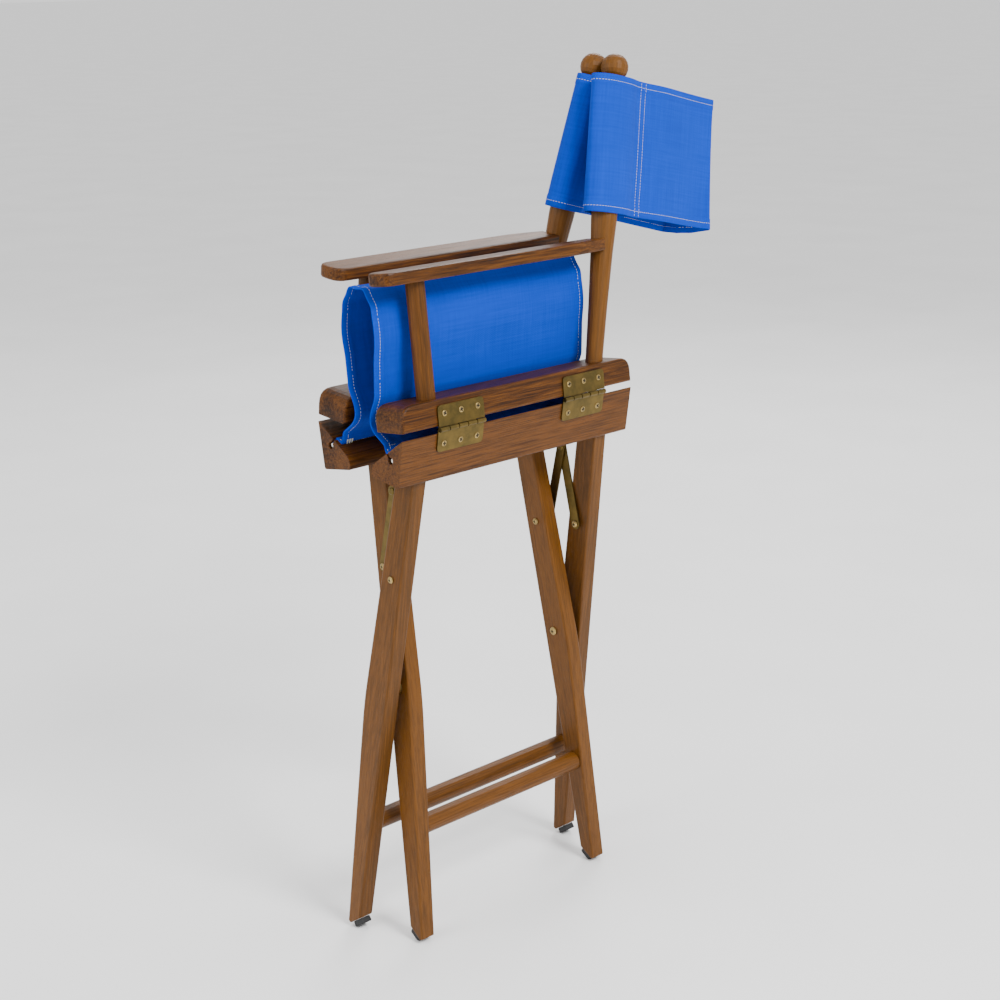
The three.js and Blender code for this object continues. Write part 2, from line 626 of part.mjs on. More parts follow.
// Turn of both panels at which the strips round the rear fold just meet.
function backPanels(length) {
  const foldWidth = 2 * (BACK_FOLD_LENGTH + BACK_SLANT_LENGTH * Math.sin(BACK_SLANT_ANGLE));
  let low = -20 * degrees;
  let high = 20 * degrees;
  const at = (turn) => [[1, NEAR_BACK_PITCH], [-1, FAR_BACK_PITCH]].map(([side, pitch]) => {
    const panel = backPanelTowards(side, pitch, turn);
    return { side, ...panel, centre: sleeveCentre(side),
      end: sleeveCentre(side).addScaledVector(panel.along, length) };
  });
  for (let i = 0; i < 40; i += 1) {
    const turn = (low + high) / 2;
    const [near, far] = at(turn);
    if (near.end.distanceTo(far.end) > foldWidth) low = turn;
    else high = turn;
  }
  return at((low + high) / 2);
}

function hang(geometry, along, up, origin) {
  const across = new THREE.Vector3().crossVectors(up, along);
  const basis = new THREE.Matrix4().makeBasis(along, across, up);
  return geometry.applyMatrix4(basis).translate(origin.x, origin.y, origin.z);
}

// Flat thin slab between two edges that rise from start and end, stopping a little short of each. Where
// the edges lean together it ends before they cross.
function ribbon(start, startUp, end, endUp) {
  const run = end.clone().sub(start).normalize();
  const across = new THREE.Vector3().crossVectors(endUp, run).normalize();
  const edges = [[start, startUp, 1], [end, endUp, -1]].map(([point, rise, side]) => ({
    middle: point.clone().addScaledVector(run, side * STRIP_END_GAP),
    up: rise.clone().addScaledVector(across, -rise.dot(across)).multiplyScalar(BACK_HEIGHT / 2),
  }));
  const width = edges[1].middle.clone().sub(edges[0].middle).dot(run);
  const widening = edges[1].up.clone().sub(edges[0].up).dot(run);
  const reach = Math.min(1, (width - NARROWEST_STRIP) / Math.abs(widening));
  const low = widening > 0 ? -reach : -1;
  const high = widening > 0 ? 1 : reach;
  const corners = [];
  for (const { middle, up } of edges) {
    for (const [height, depth] of [[low, -1], [high, -1], [high, 1], [low, 1]]) {
      corners.push(middle.clone().addScaledVector(up, height)
        .addScaledVector(across, depth * CANVAS_THICKNESS / 2));
    }
  }
  const quads = [[0, 1, 2, 3], [7, 6, 5, 4], [0, 4, 5, 1], [1, 5, 6, 2], [2, 6, 7, 3], [3, 7, 4, 0]];
  const geometry = new THREE.BufferGeometry().setFromPoints(corners);
  geometry.setIndex(quads.flatMap(([a, b, c, d]) => [a, b, c, a, c, d]));
  return geometry;
}

function addBackCanvas() {
  const openPinX = HINGE_PIN_V * Math.sin(OPEN_LEG_ANGLE) + HINGE_PIN_U * Math.cos(OPEN_LEG_ANGLE);
  const panelLength = openPinX + POST_Q - BACK_SLANT_LENGTH - BACK_FOLD_LENGTH;
  const panels = backPanels(panelLength);
  const half = CANVAS_THICKNESS / 2;
  const wall = CANVAS_THICKNESS;
  const end = panelLength - STRIP_END_GAP;
  const outline = roundedOutline([
    [end, -half, 0], [end, half, 0], [SLEEVE_SEAM, half, 0],
    [SLEEVE_FLAT, SLEEVE_HALF_DEPTH, 8], [-SLEEVE_FLAT, SLEEVE_HALF_DEPTH, 12], [SLEEVE_FRONT, 0, 1],
    [-SLEEVE_FLAT, -SLEEVE_HALF_DEPTH, 12], [SLEEVE_FLAT, -SLEEVE_HALF_DEPTH, 8], [SLEEVE_SEAM, -half, 0],
  ]);
  const inner = SLEEVE_HALF_DEPTH - wall;
  const rearBend = SLEEVE_FLAT - 0.4 * wall;
  const frontBend = 0.5 * wall - SLEEVE_FLAT;
  const pocket = roundedOutline([
    [SLEEVE_SEAM - 4 * wall, 0, 1], [rearBend, inner, 8], [frontBend, inner, 12],
    [SLEEVE_FRONT + 1.8 * wall, 0, 1], [frontBend, -inner, 12], [rearBend, -inner, 8],
  ]);
  outline.holes.push(pocket);
  const foldUp = panels[0].up.clone().add(panels[1].up).normalize();
  panels.forEach((panel) => {
    const name = panel.side > 0 ? 'near' : 'far';
    const sleeve = extrude(outline, BACK_HEIGHT, 0, 4).translate(0, 0, -BACK_HEIGHT / 2);
    add(`${name}_back_canvas_1`, hang(sleeve, panel.along, panel.up, panel.centre), 'canvas');
    const other = panels.find((candidate) => candidate !== panel);
    const toward = other.end.clone().sub(panel.end).normalize();
    const up = foldUp.clone().addScaledVector(toward, -foldUp.dot(toward)).normalize();
    const rear = new THREE.Vector3().crossVectors(toward, up).multiplyScalar(panel.side);
    const slant = panel.end.clone()
      .addScaledVector(toward, BACK_SLANT_LENGTH * Math.sin(BACK_SLANT_ANGLE))
      .addScaledVector(rear, BACK_SLANT_LENGTH * Math.cos(BACK_SLANT_ANGLE));
    const middle = slant.clone().addScaledVector(toward, BACK_FOLD_LENGTH);
    add(`${name}_back_canvas_2`, ribbon(panel.end, panel.up, slant, up), 'canvas');
    add(`${name}_back_canvas_3`, ribbon(slant, up, middle, up), 'canvas');
  });
}

const innerFace = OUTER_FACE_AT_TOP - LEG_THICKNESS - CROSSING_GAP;
addPivots();
addLegFrame('near', 1, OUTER_FACE_AT_TOP);
addLegFrame('far', -1, innerFace);
addStays('near', 1, true);
addStays('far', -1, false);
for (const [name, side] of [['near', 1], ['far', -1]]) {
  addHinges(name, side);
  addArmFrame(name, side);
}
addSeatStrips('near', 1, NEAR_SEAT_LENGTHS, NEAR_SEAT_HEADINGS);
addSeatStrips('far', -1, FAR_SEAT_LENGTHS, FAR_SEAT_HEADINGS);
addBackCanvas();

// The origin is the bottom centre of the folded chair's box.
const bounds = new THREE.Box3().setFromObject(chair);
const centre = bounds.getCenter(new THREE.Vector3());
chair.children.forEach((mesh) => mesh.geometry.translate(-centre.x, -centre.y, -bounds.min.z));

export default chair;
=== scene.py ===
"""Folding director chair, folded flat: oiled teak frame, brass fittings, blue canvas seat and back."""
import json
import math

import bmesh
import bpy
import numpy as np
from mathutils import Matrix, Vector

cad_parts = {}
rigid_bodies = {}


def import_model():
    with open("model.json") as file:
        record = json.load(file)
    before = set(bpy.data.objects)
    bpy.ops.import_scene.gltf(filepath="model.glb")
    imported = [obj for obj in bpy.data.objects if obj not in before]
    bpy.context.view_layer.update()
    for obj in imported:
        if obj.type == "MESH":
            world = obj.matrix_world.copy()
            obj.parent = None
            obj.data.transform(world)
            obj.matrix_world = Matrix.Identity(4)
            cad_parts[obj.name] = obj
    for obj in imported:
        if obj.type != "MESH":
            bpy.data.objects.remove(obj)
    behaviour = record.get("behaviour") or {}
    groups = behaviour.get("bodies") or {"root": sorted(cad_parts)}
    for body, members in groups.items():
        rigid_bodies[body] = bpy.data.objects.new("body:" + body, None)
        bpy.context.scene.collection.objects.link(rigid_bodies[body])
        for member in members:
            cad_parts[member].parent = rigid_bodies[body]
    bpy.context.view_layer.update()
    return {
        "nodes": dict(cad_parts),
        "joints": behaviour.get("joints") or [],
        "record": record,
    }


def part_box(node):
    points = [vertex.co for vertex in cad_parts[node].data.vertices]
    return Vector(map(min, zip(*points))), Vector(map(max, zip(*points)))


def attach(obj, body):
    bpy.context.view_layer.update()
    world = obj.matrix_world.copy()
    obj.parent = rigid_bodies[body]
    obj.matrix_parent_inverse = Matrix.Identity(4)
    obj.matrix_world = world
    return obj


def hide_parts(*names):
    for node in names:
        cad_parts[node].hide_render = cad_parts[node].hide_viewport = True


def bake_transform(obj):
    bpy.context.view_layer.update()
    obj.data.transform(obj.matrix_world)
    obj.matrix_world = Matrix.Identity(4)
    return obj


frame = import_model()

# Camera, at the photograph's viewing angle.
CAMERA_PLACE = Vector((1.6318, -1.6505, 1.1699))
CAMERA_AZIMUTH = math.radians(46.18)
CAMERA_DOWN = math.radians(15.99)
CAMERA_ROLL = math.radians(-0.93)
CAMERA_LENS = 67.75

# Frame angles, as in the CAD part.
LEG_ANGLE = math.radians(8.8)
ARM_LEAN = math.radians(6.0)
POST_RAKE = math.atan(0.22)
FOLD_TRAVEL = math.radians(34.2)
BACK_PITCH = {"near": math.radians(11.4), "far": math.radians(14.4)}
SIDES = {"near": 1.0, "far": -1.0}

# Canvas. Lengths are in metres.
CANVAS_HALF = 0.0006
HEM_HALF = 0.0011
HEM_WIDTH = 0.013
HEM_STITCH = 0.0075
SEAT_DEPTH = 0.342
SEAT_MIDDLE = -0.015
SEAT_TIP = 0.0125
SEAT_RAIL_REACH = 0.034
BACK_HEIGHT = 0.168
BACK_TIP = 0.015
SLEEVE_FRONT = {"near": -0.034, "far": -0.0215}
BOW_START = 0.035
BOW_END = 0.200
BOW_DEPTH = 0.0085
SEAM_LINES = (0.0440, 0.0535)
POST_HALF_DEPTHS = (0.0182, 0.0184, 0.0176, 0.0168, 0.0160)
DASH_LENGTH = 0.0026
DASH_PITCH = 0.0036
DASH_HALF_WIDTH = 0.00029
BAR_TACK = 0.009
TACK_START = 0.002
TACK_OVERRUN = 0.005
SEAT_SLOT_LINE = 0.009
ROD_RADIUS = 0.0026
BEND_REACH = 0.045
BEND_SHARE = 0.9
SLEEVE_BEFORE_BEND = 0.03
THREAD_CROWN = 0.00042
THREAD_SIDE = 0.0002
THREAD_SUNK = 0.0001
SEAM_CLEARANCE = 0.008
SEAM_INSET = 0.001
SLOPE_RUN = 0.001
HEM_DASH_END = 0.012
HEM_SEGMENTS = 24
HEM_OPENING = math.radians(22)
HEM_INSIDE = 0.0002
HEM_OUTSIDE = 0.0011
HEM_TOP = -0.0004
HEM_PINCH = 0.12
SEAT_STEP = 0.0025
BACK_STEP = 0.0015
HANG_ROUNDS = 40

# Screws and bolt recesses. Lengths are in metres.
SCREW_DROP = 0.0182
LEAF_SCREW_RADIUS = 0.0036
LEAF_SCREW_RISE = 0.0009
LEAF_SCREW_SPACING = 0.026
LOWER_LEAF_FACE = -0.0012
UPPER_LEAF_FACE = 0.0001
SCREW_TURN = 0.9
STAY_RECESS_RADIUS = 0.0027
PIVOT_RECESS_RADIUS = 0.0034
RECESS_RISE = 0.0005
RECESS_SINK = 0.0001

# Studio and shading. Lengths are in metres.
FLOOR_REACH = 60.0
LIGHT_AIM = (0, 0, 0.6)
WORLD_STRENGTH = 1.15
SHARP_ANGLE = math.radians(40)

joints = {joint["name"]: joint for joint in frame["joints"]}
couplings = {c["joint"]: c["ratio"] for c in frame["record"]["behaviour"]["couplings"]}


def make_camera():
    sin_a, cos_a = math.sin(CAMERA_AZIMUTH), math.cos(CAMERA_AZIMUTH)
    sin_d, cos_d = math.sin(CAMERA_DOWN), math.cos(CAMERA_DOWN)
    right = Vector((cos_a, sin_a, 0))
    ahead = Vector((-sin_a * cos_d, cos_a * cos_d, -sin_d))
    up = right.cross(ahead)
    rolled_right = right * math.cos(CAMERA_ROLL) + up * math.sin(CAMERA_ROLL)
    rolled_up = up * math.cos(CAMERA_ROLL) - right * math.sin(CAMERA_ROLL)
    turn = Matrix((rolled_right, rolled_up, -ahead)).transposed()
    data = bpy.data.cameras.new("photo_camera")
    data.sensor_width = 36
    data.lens = CAMERA_LENS
    data.clip_start = 0.05
    camera = bpy.data.objects.new("photo_camera", data)
    bpy.context.scene.collection.objects.link(camera)
    camera.matrix_world = Matrix.Translation(CAMERA_PLACE) @ turn.to_4x4()
    bpy.context.scene.camera = camera


# ---------------------------------------------------------------- materials


class Nodes:
    """A material's node tree, written left to right."""

    def __init__(self, name):
        self.material = bpy.data.materials.new(name)
        self.material.use_nodes = True
        self.tree = self.material.node_tree
        self.shader = self.tree.nodes["Principled BSDF"]
        self.coordinates = self.tree.nodes.new("ShaderNodeTexCoord")

    def add(self, kind, inputs=None, **settings):
        node = self.tree.nodes.new(kind)
        for key, value in settings.items():
            setattr(node, key, value)
        for key, value in (inputs or {}).items():
            self.feed(node.inputs[key], value)
        return node

    def feed(self, socket, value):
        if isinstance(value, bpy.types.NodeSocket):
            self.tree.links.new(value, socket)
        else:
            socket.default_value = value

    def mapping(self, source, rotation=(0, 0, 0), scale=(1, 1, 1)):
        """Rotates first, so that scale stretches along the turned axes."""
        turned = self.add("ShaderNodeMapping", {"Vector": source, "Rotation": rotation})
        scaled = self.add("ShaderNodeMapping", {"Vector": turned.outputs[0], "Scale": scale})
        return scaled.outputs[0]

    def noise(self, vector, scale, detail=4.0, roughness=0.55, distortion=0.0):
        node = self.add("ShaderNodeTexNoise", {
            "Vector": vector, "Scale": scale, "Detail": detail,
            "Roughness": roughness, "Distortion": distortion})
        return node.outputs["Fac"]

    def ramp(self, value, stops):
        node = self.add("ShaderNodeValToRGB", {"Fac": value})
        ramp = node.color_ramp
        while len(ramp.elements) < len(stops):
            ramp.elements.new(0.5)
        for element, (position, colour) in zip(ramp.elements, stops):
            element.position = position
            element.color = (*colour, 1)
        return node.outputs["Color"]

    def grey_ramp(self, value, stops):
        return self.ramp(value, [(position, (grey,) * 3) for position, grey in stops])

    def mix(self, factor, a, b, blend="MIX"):
        node = self.add("ShaderNodeMix", data_type="RGBA", blend_type=blend)
        self.feed(node.inputs["Factor"], factor)
        self.feed(node.inputs[6], a)
        self.feed(node.inputs[7], b)
        return node.outputs[2]

    def math(self, operation, a, b):
        node = self.add("ShaderNodeMath", operation=operation)
        self.feed(node.inputs[0], a)
        self.feed(node.inputs[1], b)
        return node.outputs[0]

    def bump(self, height, distance, strength=1.0, below=None):
        inputs = {"Height": height, "Distance": distance, "Strength": strength}
        if below is not None:
            inputs["Normal"] = below
        return self.add("ShaderNodeBump", inputs).outputs[0]

    def finish(self, **inputs):
        for key, value in inputs.items():
            self.feed(self.shader.inputs[key.replace("_", " ")], value)
        return self.material


TEAK_DARK = (0.012, 0.0032, 0.0004)
TEAK_MID = (0.050, 0.0155, 0.0016)
TEAK_LIGHT = (0.102, 0.0345, 0.0040)
TEAK_PALE = (0.160, 0.064, 0.0090)
# Back posts get a high tone as a painted highlight: paler, plainer wood standing in for their gloss.
WOOD_TONES_AND_PAINTED_GLOSS = {"leg": 0.55, "rail": 0.05, "stretcher": 0.4, "front_post": 0.35, "back_post": 0.75}


def teak(name, rotation, shift, tone):
    """Oiled teak whose grain runs along the turned frame's Z axis. A higher tone is paler and plainer."""
    n = Nodes(name)
    moved = n.add("ShaderNodeMapping", {"Vector": n.coordinates.outputs["Object"], "Location": shift})
    along = n.mapping(moved.outputs[0], rotation, (1, 1, 0.045))
    figure = n.noise(along, 22, 3, 0.5, 0.6)
    streaks = n.noise(along, 310, 6, 0.68, 0.4)
    fine = n.noise(n.mapping(moved.outputs[0], rotation, (1, 1, 0.02)), 900, 2, 0.5)
    pores = n.noise(n.mapping(moved.outputs[0], rotation, (1, 1, 0.06)), 1500, 1, 0.5)
    blend = n.math("ADD", n.math("MULTIPLY", figure, 0.45), n.math("MULTIPLY", streaks, 0.55))
    base = n.ramp(blend, [(0.39, TEAK_DARK), (0.47, TEAK_MID), (0.56, TEAK_LIGHT), (0.68, TEAK_MID)])
    lines = n.grey_ramp(fine, [(0.34, 0.45), (0.50, 1.0), (0.70, 1.15)])
    toned = n.mix(1.0, base, lines, "MULTIPLY")
    open_pores = n.grey_ramp(pores, [(0.26, 0.35), (0.36, 1.0)])
    colour = n.mix(0.8, toned, n.mix(1.0, toned, open_pores, "MULTIPLY"))
    colour = n.mix(tone, colour, n.mix(0.35, (*TEAK_PALE, 1), toned))
    rough = n.grey_ramp(streaks, [(0.2, 0.52), (0.8, 0.36)])
    grain_bump = n.bump(streaks, 0.0004, 0.5)
    normal = n.bump(open_pores, 0.00025, 0.6, grain_bump)
    n.shader.inputs["Coat Weight"].default_value = 0.03
    n.shader.inputs["Coat Roughness"].default_value = 0.22
    n.shader.inputs["Specular IOR Level"].default_value = 0.14
    return n.finish(Base_Color=colour, Roughness=rough, Normal=normal)


def brass(name, light, dark, roughness):
    """Aged brass: satin, with dull patches and fine rubbing marks."""
    n = Nodes(name)
    place = n.coordinates.outputs["Object"]
    patches = n.noise(place, 55, 4, 0.6)
    rubbing = n.noise(n.mapping(place, (0, 0, 0), (1, 0.08, 1)), 700, 3, 0.6)
    colour = n.mix(n.grey_ramp(patches, [(0.36, 0.0), (0.66, 1.0)]), (*light, 1), (*dark, 1))
    rough = n.math("ADD", n.math("MULTIPLY", patches, 0.22), n.math("MULTIPLY", rubbing, 0.18))
    rough = n.math("ADD", rough, roughness)
    normal = n.bump(rubbing, 0.00005, 0.5, n.bump(patches, 0.0001, 0.4))
    n.shader.inputs["Metallic"].default_value = 1.0
    return n.finish(Base_Color=colour, Roughness=rough, Normal=normal)


def rubber():
    n = Nodes("black_rubber")
    place = n.coordinates.outputs["Object"]
    dust = n.noise(place, 120, 5, 0.6)
    colour = n.ramp(dust, [(0.35, (0.004, 0.004, 0.005)), (0.75, (0.012, 0.012, 0.012))])
    rough = n.grey_ramp(dust, [(0.3, 0.62), (0.8, 0.88)])
    normal = n.bump(n.noise(place, 1600, 2, 0.6), 0.0002, 0.5)
    return n.finish(Base_Color=colour, Roughness=rough, Normal=normal)


def white_rod():
    n = Nodes("white_rod")
    place = n.coordinates.outputs["Object"]
    scuff = n.noise(n.mapping(place, (0, 0, 0), (1, 0.2, 1)), 300, 4, 0.6)
    colour = n.ramp(scuff, [(0.3, (0.60, 0.58, 0.53)), (0.6, (0.80, 0.79, 0.75))])
    rough = n.grey_ramp(scuff, [(0.3, 0.65), (0.7, 0.42)])
    return n.finish(Base_Color=colour, Roughness=rough, Normal=n.bump(scuff, 0.0001, 0.4))


CANVAS_BLUE = (0.000, 0.042, 0.420)
CANVAS_DEEP = (0.000, 0.038, 0.380)
THREADS_PER_METRE = 900.0


def canvas():
    """Plain-weave cotton duck. The UV map is the flat cloth, in metres."""
    n = Nodes("blue_canvas")
    flat = n.coordinates.outputs["UV"]
    parts = n.add("ShaderNodeSeparateXYZ", {"Vector": flat})
    turns = 2 * math.pi * THREADS_PER_METRE / 2
    warp = n.math("SINE", n.math("MULTIPLY", parts.outputs["X"], turns), 0.0)
    weft = n.math("SINE", n.math("MULTIPLY", parts.outputs["Y"], turns), 0.0)
    weave = n.math("MULTIPLY", warp, weft)
    weave = n.math("ADD", n.math("MULTIPLY", weave, 0.5), 0.5)
    slub = n.noise(n.mapping(flat, (0, 0, 0), (1, 0.03, 1)), 420, 3, 0.6)
    slub_across = n.noise(n.mapping(flat, (0, 0, 0), (0.03, 1, 1)), 420, 3, 0.6)
    yarns = n.math("MULTIPLY", n.math("ADD", slub, slub_across), 0.5)
    fade = n.noise(flat, 9, 3, 0.5)
    base = n.mix(n.grey_ramp(fade, [(0.3, 0.0), (0.7, 1.0)]), (*CANVAS_DEEP, 1), (*CANVAS_BLUE, 1))
    # Painted shade and highlight on the weave: darker where its bump height is low, lighter where it is
    # high.
    depth = n.grey_ramp(weave, [(0.0, 0.80), (0.6, 1.0), (1.0, 1.08)])
    base = n.mix(1.0, base, depth, "MULTIPLY")
    base = n.mix(1.0, base, n.grey_ramp(yarns, [(0.35, 0.86), (0.65, 1.1)]), "MULTIPLY")
    rough = n.grey_ramp(weave, [(0.0, 0.95), (1.0, 0.80)])
    normal = n.bump(weave, 0.00025, 0.5, n.bump(yarns, 0.0003, 0.35))
    n.shader.inputs["Sheen Weight"].default_value = 0.02
    n.shader.inputs["Sheen Roughness"].default_value = 0.5
    n.shader.inputs["Specular IOR Level"].default_value = 0.08
    return n.finish(Base_Color=base, Roughness=rough, Normal=normal)


def thread():
    """Off-white sewing thread, two plies twisted."""
    n = Nodes("stitching")
    place = n.coordinates.outputs["Object"]
    twist = n.noise(place, 2500, 2, 0.5)
    colour = n.ramp(twist, [(0.3, (0.40, 0.40, 0.28)), (0.7, (0.68, 0.67, 0.50))])
    return n.finish(Base_Color=colour, Roughness=0.8, Normal=n.bump(twist, 0.0001, 0.6))


# ------------------------------------------------------------------ meshes


class Builder:
    """Collects vertices, faces, flat-cloth coordinates and material numbers for one piece."""

    def __init__(self):
        self.points, self.faces, self.flat, self.slots = [], [], [], []
        self.count = 0

    def add(self, points, faces, flat=None, slot=0):
        points = np.asarray(points, float)
        flat = points[:, :2] if flat is None else np.asarray(flat, float)
        self.points.append(points)
        self.flat.append(flat)
        self.faces += [tuple(i + self.count for i in face) for face in faces]
        self.slots += [slot] * len(faces)
        self.count += len(points)

    def object(self, name, materials):
        mesh = bpy.data.meshes.new(name)
        mesh.from_pydata(np.concatenate(self.points).tolist(), [], self.faces)
        for material in materials:
            mesh.materials.append(material)
        mesh.polygons.foreach_set("material_index", self.slots)
        mesh.polygons.foreach_set("use_smooth", [True] * len(self.faces))
        flat = np.concatenate(self.flat)
        layer = mesh.uv_layers.new(name="flat_cloth")
        corners = np.empty(len(mesh.loops), int)
        mesh.loops.foreach_get("vertex_index", corners)
        layer.data.foreach_set("uv", flat[corners].ravel())
        solid = bmesh.new()
        solid.from_mesh(mesh)
        bmesh.ops.recalc_face_normals(solid, faces=solid.faces)
        solid.to_mesh(mesh)
        solid.free()
        mesh.set_sharp_from_angle(angle=SHARP_ANGLE)
        mesh.update()
        made = bpy.data.objects.new(name, mesh)
        bpy.context.scene.collection.objects.link(made)
        return made


def loft_faces(rows, ring):
    """Quads round a closed ring repeated along rows, with both ends capped."""
    faces = []
    for r in range(rows - 1):
        for c in range(ring):
            d = (c + 1) % ring
            faces.append((r * ring + c, r * ring + d, (r + 1) * ring + d, (r + 1) * ring + c))
    half = ring // 2
    for r, turned in ((0, False), (rows - 1, True)):
        for c in range(half - 1):
            face = [r * ring + c, r * ring + c + 1, r * ring + ring - 2 - c, r * ring + ring - 1 - c]
            faces.append(tuple(face if turned else face[::-1]))
    return faces


def across_profile(width):
    """Heights across a strip of cloth and the half thickness at each, with a folded hem at both edges."""
    middle = np.linspace(-1, 1, 33)
    inner = width / 2 - HEM_WIDTH - 0.001
    heights = list(middle * inner)
    half = [CANVAS_HALF] * len(heights)
    steps = [(HEM_WIDTH, HEM_HALF), (HEM_WIDTH / 2, HEM_HALF),
             (0.0006, HEM_HALF * 0.9), (0.0, HEM_HALF * 0.45)]
    for inset, thickness in steps:
        heights = [-(width / 2 - inset)] + heights + [width / 2 - inset]
        half = [thickness] + half + [thickness]
    return np.array(heights), np.array(half)


def turned_about(points, pivot, axis, angles):
    """Each point turned about the axis through pivot by its own angle."""
    p = points - pivot
    cosine, sine = np.cos(angles)[:, None], np.sin(angles)[:, None]
    along = (p @ axis)[:, None]
    return pivot + p * cosine + np.cross(axis, p) * sine + axis * along * (1 - cosine)


class Bend:
    """One joint of a canvas chain. Cloth that lies flat when the chair is open is laid where it hangs now.

    A point at blend weight w is placed at its flat place turned back about the joint by w times the joint's
    travel.
    """

    def __init__(self, name, start, end):
        joint = joints[name]
        self.pivot = np.array(joint["pos_m"], float)
        self.axis = np.array(joint["axis"], float)
        self.travel = couplings[name] * FOLD_TRAVEL
        self.start, self.end = np.array(start, float), np.array(end, float)
        self.parent, self.child = joint["parent"], joint["child"]

    def weight(self, points):
        run = self.end - self.start
        t = np.clip((points - self.start) @ run / (run @ run), 0, 1)
        return t * t * (3 - 2 * t)

    def hang(self, flat_points):
        low, high = np.zeros(len(flat_points)), np.ones(len(flat_points))
        for _ in range(HANG_ROUNDS):
            w = (low + high) / 2
            placed = turned_about(flat_points, self.pivot, self.axis, -w * self.travel)
            more = self.weight(placed) > w
            low, high = np.where(more, w, low), np.where(more, high, w)
        return turned_about(flat_points, self.pivot, self.axis, -(low + high) / 2 * self.travel)

    def fasten(self, piece):
        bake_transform(piece)


def dash_points(length_from, length_to, fixed, surface, along_first):
    """Stitches as small flat-sided lozenges: (s, h, n) corners of each one."""
    stitches = []
    count = int(abs(length_to - length_from) / DASH_PITCH)
    for i in range(count):
        middle = length_from + (i + 0.5) * DASH_PITCH * np.sign(length_to - length_from)
        ring = []
        for offset, width, rise in ((-0.5, 0.4, 0.0), (-0.25, 1, 1.0), (0.25, 1, 1.0), (0.5, 0.4, 0.0)):
            for side in (-1, 0, 1):
                lift = rise * (THREAD_CROWN if side == 0 else THREAD_SIDE) - THREAD_SUNK
                run, cross = middle + offset * DASH_LENGTH, fixed + side * width * DASH_HALF_WIDTH
                s, h = (run, cross) if along_first else (cross, run)
                ring.append((s, h, np.sign(surface) * (abs(surface) + lift)))
        stitches.append(np.array(ring))
    return stitches


DASH_FACES = [(r * 3 + c, r * 3 + c + 1, r * 3 + c + 4, r * 3 + c + 3) for r in range(3) for c in range(2)]
DASH_FACES.append((3, 6, 9, 10, 11, 8, 5, 2, 1, 0))


def add_dashes(builder, stitches, place):
    for ring in stitches:
        builder.add(place(ring), DASH_FACES, ring[:, :2], 1)


def strip_piece(name, bend, frame_of, lengths, width, offset_s, lines, bow, materials):
    """Cloth crossing one bend. frame_of turns (s, h, n) on the flat cloth into points beside the pivot."""
    heights, half = across_profile(width)
    ring = len(heights) * 2
    grid = []
    for s in lengths:
        top = [(s, h, t) for h, t in zip(heights, half)]
        bottom = [(s, h, -t) for h, t in zip(heights[::-1], half[::-1])]
        grid += top + bottom
    grid = np.array(grid)

    def place(points):
        raised = points.copy()
        if bow is not None:
            raised[:, 2] += bow(points[:, 0] + offset_s, points[:, 1])
        return bend.hang(frame_of(raised))

    builder = Builder()
    flat = grid[:, :2] + (offset_s, 0)
    builder.add(place(grid), loft_faces(len(lengths), ring), flat, 0)
    edge = width / 2 - HEM_STITCH
    for h in (-edge, edge):
        for surface in (HEM_HALF, -HEM_HALF):
            add_dashes(builder, dash_points(lengths[0], lengths[-1], h, surface, True), place)
    for s in lines:
        for surface in (CANVAS_HALF, -CANVAS_HALF):
            add_dashes(builder, dash_points(-edge, edge, s, surface, False), place)
    if lines:
        add_bar_tacks(builder, edge, lengths[-1], place)
    return builder.object(name, materials)


def add_bar_tacks(builder, edge, reach, place):
    """A stitched box at each end of the line beside the slot."""
    end = TACK_START + BAR_TACK
    for side in (-1, 1):
        inner, outer = side * (edge - BAR_TACK), side * (edge + TACK_OVERRUN)
        for surface in (HEM_HALF, -HEM_HALF):
            for s in (TACK_START, min(reach - 0.001, end)):
                add_dashes(builder, dash_points(inner, outer, s, surface, False), place)
            for h in (inner, outer):
                add_dashes(builder, dash_points(TACK_START, min(reach, end), h, surface, True), place)


# -------------------------------------------------------------------- seat


def unit(vector):
    vector = np.asarray(vector, float)
    return vector / np.linalg.norm(vector)


def seat_bow(s, h):
    """Slack of the seat cloth: shallow waves that die out towards the hems and over the rails."""
    off_rail = np.clip((s - SEAT_RAIL_REACH) / SEAT_RAIL_REACH, 0, 1)
    inside = np.clip(1 - (np.abs(h) / (SEAT_DEPTH / 2)) ** 4, 0, 1) * off_rail ** 2 * (3 - 2 * off_rail)
    return inside * (0.0009 * np.sin(s * 38 + 0.6) * np.cos(h * 17) + 0.0006 * np.sin(h * 41 + s * 11))


